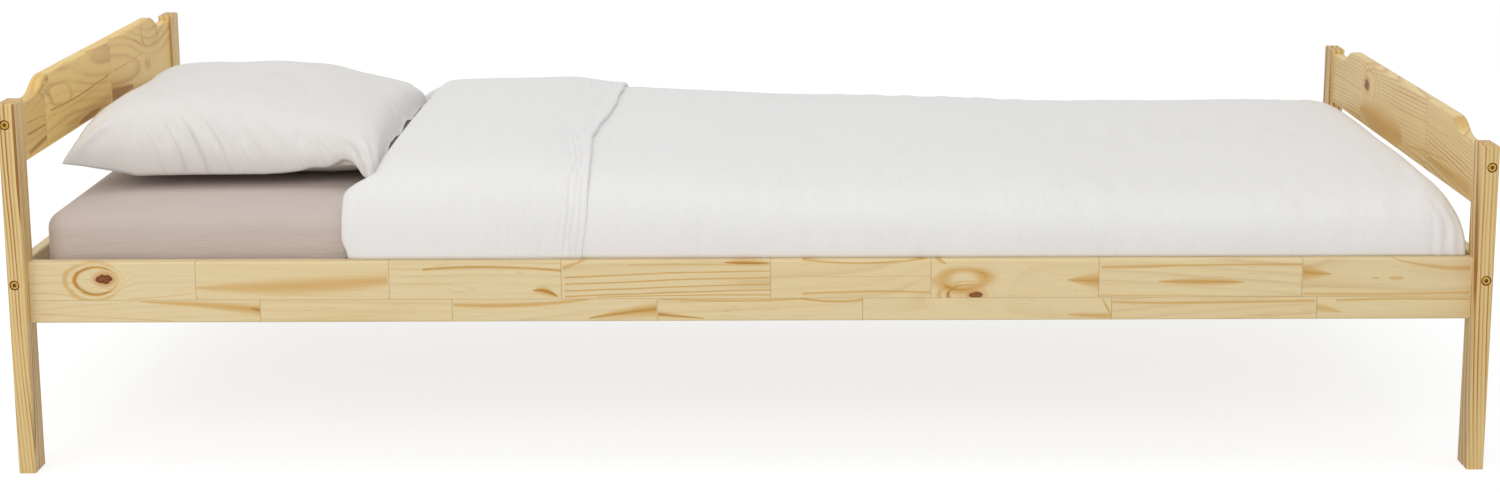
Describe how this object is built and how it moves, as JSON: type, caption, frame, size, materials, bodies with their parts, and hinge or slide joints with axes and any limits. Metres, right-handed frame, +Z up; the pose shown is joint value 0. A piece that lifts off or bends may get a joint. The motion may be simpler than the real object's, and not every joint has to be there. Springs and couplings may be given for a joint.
{
  "type": "single bed",
  "caption": "Single bed with a pine frame of posts, shaped head and foot panels, rails and slats, made up with a fitted sheet, a pillow and a turned-back duvet.",
  "frame": {"origin": "on the floor, under the middle of the bed", "axes": "+X from the head to the foot, +Y from the front side to the back side, +Z up"},
  "size_m": [2.08, 1, 0.547],
  "materials": {
    "pine": "clear satin lacquer on pale pine",
    "slat_pine": "planed, unfinished",
    "yellow_bolt": "yellow plated",
    "zinc_steel": "zinc plated",
    "beech": "fluted dowel, unfinished",
    "mattress_ticking": "quilted ticking",
    "taupe_jersey": "matt jersey",
    "white_cotton": "matt crinkled cotton",
    "fibre_filling": "loose fibre"
  },
  "bodies": {
    "frame": {"head_post_front": "pine", "head_post_back": "pine", "foot_post_front": "pine", "foot_post_back": "pine", "head_panel": "pine", "foot_panel": "pine", "head_cross_rail": "pine", "foot_cross_rail": "pine", "side_rail_front": "pine", "side_rail_back": "pine", "slat_ledger_front": "slat_pine", "slat_ledger_back": "slat_pine", "slat_01": "slat_pine", "slat_02": "slat_pine", "slat_03": "slat_pine", "slat_04": "slat_pine", "slat_05": "slat_pine", "slat_06": "slat_pine", "slat_07": "slat_pine", "slat_08": "slat_pine", "slat_09": "slat_pine", "slat_10": "slat_pine", "slat_11": "slat_pine", "slat_12": "slat_pine", "slat_13": "slat_pine", "slat_14": "slat_pine", "slat_15": "slat_pine", "end_frame_bolts": "yellow_bolt", "rail_bolts": "yellow_bolt", "end_frame_barrel_nuts": "zinc_steel", "rail_barrel_nuts": "zinc_steel", "end_frame_dowels": "beech", "rail_dowels": "beech", "slat_screws": "zinc_steel", "ledger_screws": "zinc_steel"},
    "mattress": {"mattress": "mattress_ticking", "fitted_sheet": "taupe_jersey"},
    "duvet": {"duvet_cover": "white_cotton", "duvet_filling": "fibre_filling"},
    "pillow": {"pillowcase": "white_cotton", "pillow_filling": "fibre_filling"}
  },
  "joints": [
    {"name": "mattress_lift", "type": "slide", "parent": "frame", "child": "mattress", "axis": [0, 0, 1], "range_m": [0, 0.3]},
    {"name": "duvet_lift", "type": "slide", "parent": "mattress", "child": "duvet", "axis": [0, 0, 1], "range_m": [0, 0.3]},
    {"name": "pillow_lift", "type": "slide", "parent": "mattress", "child": "pillow", "axis": [0, 0, 1], "range_m": [0, 0.3]}
  ]
}
